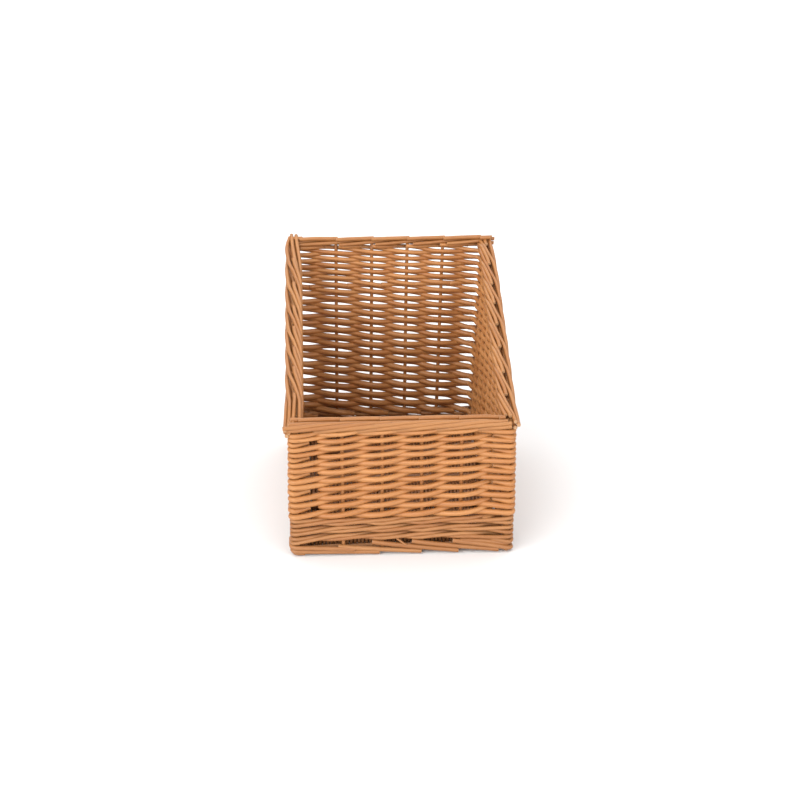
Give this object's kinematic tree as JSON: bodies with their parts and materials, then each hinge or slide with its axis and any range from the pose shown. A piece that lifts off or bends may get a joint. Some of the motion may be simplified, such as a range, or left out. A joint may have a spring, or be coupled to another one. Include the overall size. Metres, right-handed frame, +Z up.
{
  "type": "sloped display basket",
  "caption": "Rectangular woven willow basket with a low front, a high back and sloped sides, open at the top for display.",
  "frame": {"origin": "middle of the footprint, on the surface that the basket stands on", "axes": "+Z up, -Y towards the low front, +X to the right seen from the front"},
  "size_m": [0.2998, 0.3818, 0.313],
  "materials": {
    "willow_weave": "bare buff willow rods, satin",
    "willow_border": "bare buff willow rods, satin, with pale cut ends",
    "willow_upright": "bare buff willow stakes, satin",
    "willow_base": "bare buff willow, darker inside the basket"
  },
  "bodies": {
    "root": {"back_foot": "willow_border", "back_rim_inner": "willow_border", "back_rim_middle": "willow_border", "back_rim_outer": "willow_border", "back_stake_1": "willow_upright", "back_stake_2": "willow_upright", "back_stake_3": "willow_upright", "back_stake_4": "willow_upright", "back_wale": "willow_weave", "back_weave": "willow_weave", "base_stick_1": "willow_base", "base_stick_2": "willow_base", "base_stick_3": "willow_base", "base_stick_4": "willow_base", "base_stick_5": "willow_base", "base_stick_6": "willow_base", "base_stick_7": "willow_base", "base_stick_8": "willow_base", "base_weave": "willow_base", "corner_post_back_left": "willow_upright", "corner_post_back_right": "willow_upright", "corner_post_front_left": "willow_upright", "corner_post_front_right": "willow_upright", "front_foot": "willow_border", "front_rim_inner": "willow_border", "front_rim_middle": "willow_border", "front_rim_outer": "willow_border", "front_stake_1": "willow_upright", "front_stake_2": "willow_upright", "front_stake_3": "willow_upright", "front_stake_4": "willow_upright", "front_wale": "willow_weave", "front_weave": "willow_weave", "left_foot": "willow_border", "left_rim_inner": "willow_border", "left_rim_middle": "willow_border", "left_rim_outer": "willow_border", "left_stake_1": "willow_upright", "left_stake_2": "willow_upright", "left_stake_3": "willow_upright", "left_stake_4": "willow_upright", "left_stake_5": "willow_upright", "left_stake_6": "willow_upright", "left_stake_7": "willow_upright", "left_wale": "willow_weave", "left_weave": "willow_weave", "right_foot": "willow_border", "right_rim_inner": "willow_border", "right_rim_middle": "willow_border", "right_rim_outer": "willow_border", "right_stake_1": "willow_upright", "right_stake_2": "willow_upright", "right_stake_3": "willow_upright", "right_stake_4": "willow_upright", "right_stake_5": "willow_upright", "right_stake_6": "willow_upright", "right_stake_7": "willow_upright", "right_wale": "willow_weave", "right_weave": "willow_weave"}
  },
  "joints": []
}
